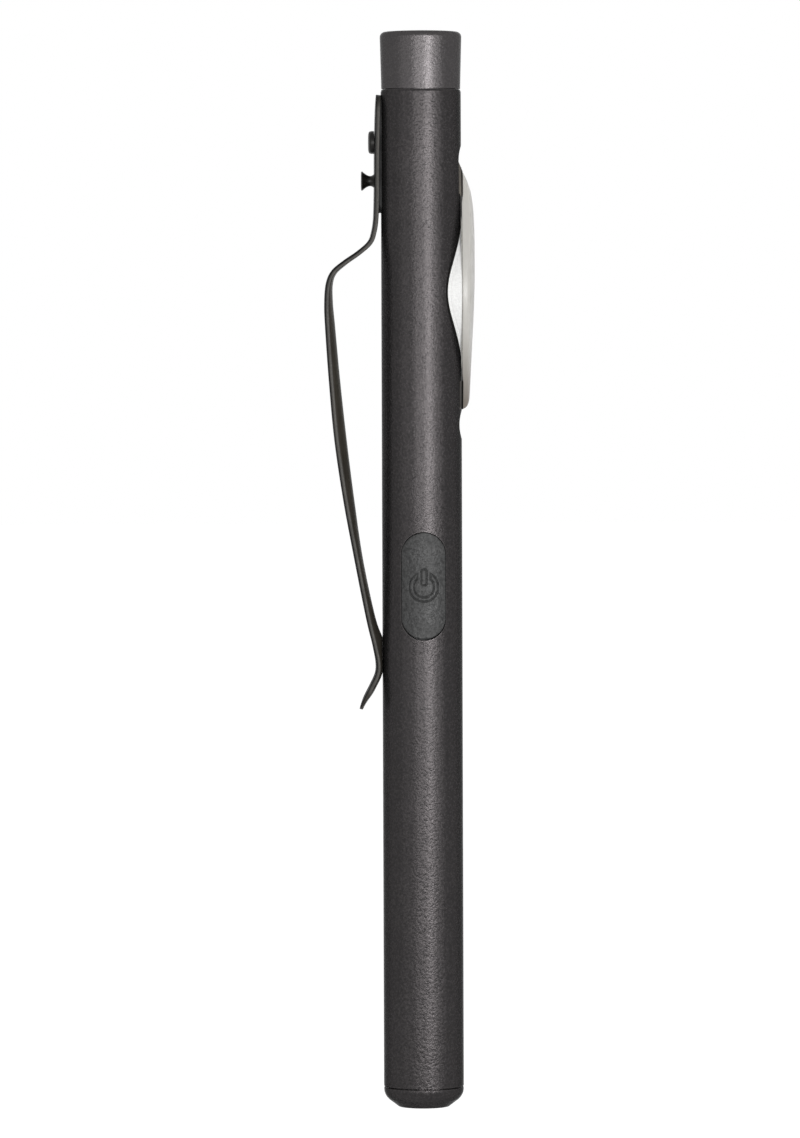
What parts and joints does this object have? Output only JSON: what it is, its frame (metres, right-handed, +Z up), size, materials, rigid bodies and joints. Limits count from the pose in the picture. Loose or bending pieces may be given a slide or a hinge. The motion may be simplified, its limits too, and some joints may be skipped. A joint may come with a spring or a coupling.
{
  "type": "penlight",
  "caption": "Slim dark aluminium penlight with a spring pocket clip, a side lamp under an oval lens, a spot light in the head, a rubber push button and a screw tail cap.",
  "frame": {"origin": "centre of the tail cap's flat end, on the tube's axis", "axes": "+Z up the tube to the head, +X out of the side lamp, -X to the pocket clip, -Y out of the push button"},
  "size_m": [0.0231, 0.0124, 0.165],
  "materials": {
    "tube_metal": "bead blasted, dark anodised",
    "cap_metal": "satin, dark anodised",
    "clip_steel": "black oxide, satin",
    "fastener_steel": "black, satin",
    "button_rubber": "matte",
    "seal_rubber": "matte",
    "bezel_plastic": "gloss",
    "clear_lens": "clear, slightly frosted",
    "reflector_silver": "bead blasted, silver",
    "mirror_silver": "polished",
    "board_green": "satin",
    "board_white": "satin",
    "led_yellow": "gloss",
    "black_plastic": "satin",
    "switch_metal": "satin",
    "ferrite": "matte",
    "cell_wrap": "gloss",
    "contact_brass": "satin",
    "spring_steel": "plated",
    "wire_red": "satin",
    "wire_black": "satin"
  },
  "bodies": {
    "barrel": {"barrel_tube": "tube_metal", "head_cap": "cap_metal", "head_o_ring": "seal_rubber", "front_lens": "clear_lens", "front_reflector": "mirror_silver", "front_led": "led_yellow", "front_board": "board_green", "side_reflector": "reflector_silver", "side_led_board": "board_white", "side_leds": "led_yellow", "side_bezel": "bezel_plastic", "side_lens": "clear_lens", "clip_pad": "seal_rubber", "clip_base": "clip_steel", "clip_rivet": "fastener_steel", "clip_stud": "fastener_steel", "switch_body": "switch_metal", "button_retainer": "black_plastic", "driver_board": "board_green", "driver_coil": "ferrite", "driver_chips": "black_plastic", "board_carrier": "black_plastic", "lamp_leads": "wire_red", "spot_leads": "wire_black", "battery_cell": "cell_wrap", "cell_contact": "contact_brass"},
    "button": {"button_boot": "button_rubber", "switch_plunger": "black_plastic"},
    "clip": {"clip_arm": "clip_steel"},
    "tail_seal": {"tail_o_ring": "seal_rubber"},
    "tail": {"tail_cap": "tube_metal", "tail_spring": "spring_steel"}
  },
  "joints": [
    {"name": "button_press", "type": "slide", "parent": "barrel", "child": "button", "axis": [0, 1, 0], "range_m": [0, 0.0005], "stiffness_N_per_m": 3000},
    {"name": "clip_flex", "type": "hinge", "parent": "barrel", "child": "clip", "pos_m": [-0.00681, 0, 0.1366], "axis": [0, 1, 0], "range_deg": [0, 4], "stiffness_Nm_per_rad": 6},
    {"name": "tail_travel", "type": "slide", "parent": "barrel", "child": "tail_seal", "axis": [0, 0, -1], "range_m": [0, 0.00375]},
    {"name": "tail_turn", "type": "hinge", "parent": "tail_seal", "child": "tail", "pos_m": [0, 0, 0], "axis": [0, 0, -1], "range_deg": [0, 1800]}
  ],
  "couplings": [
    {"joint": "tail_turn", "follows": "tail_travel", "rad_per_m": 8377.6}
  ]
}
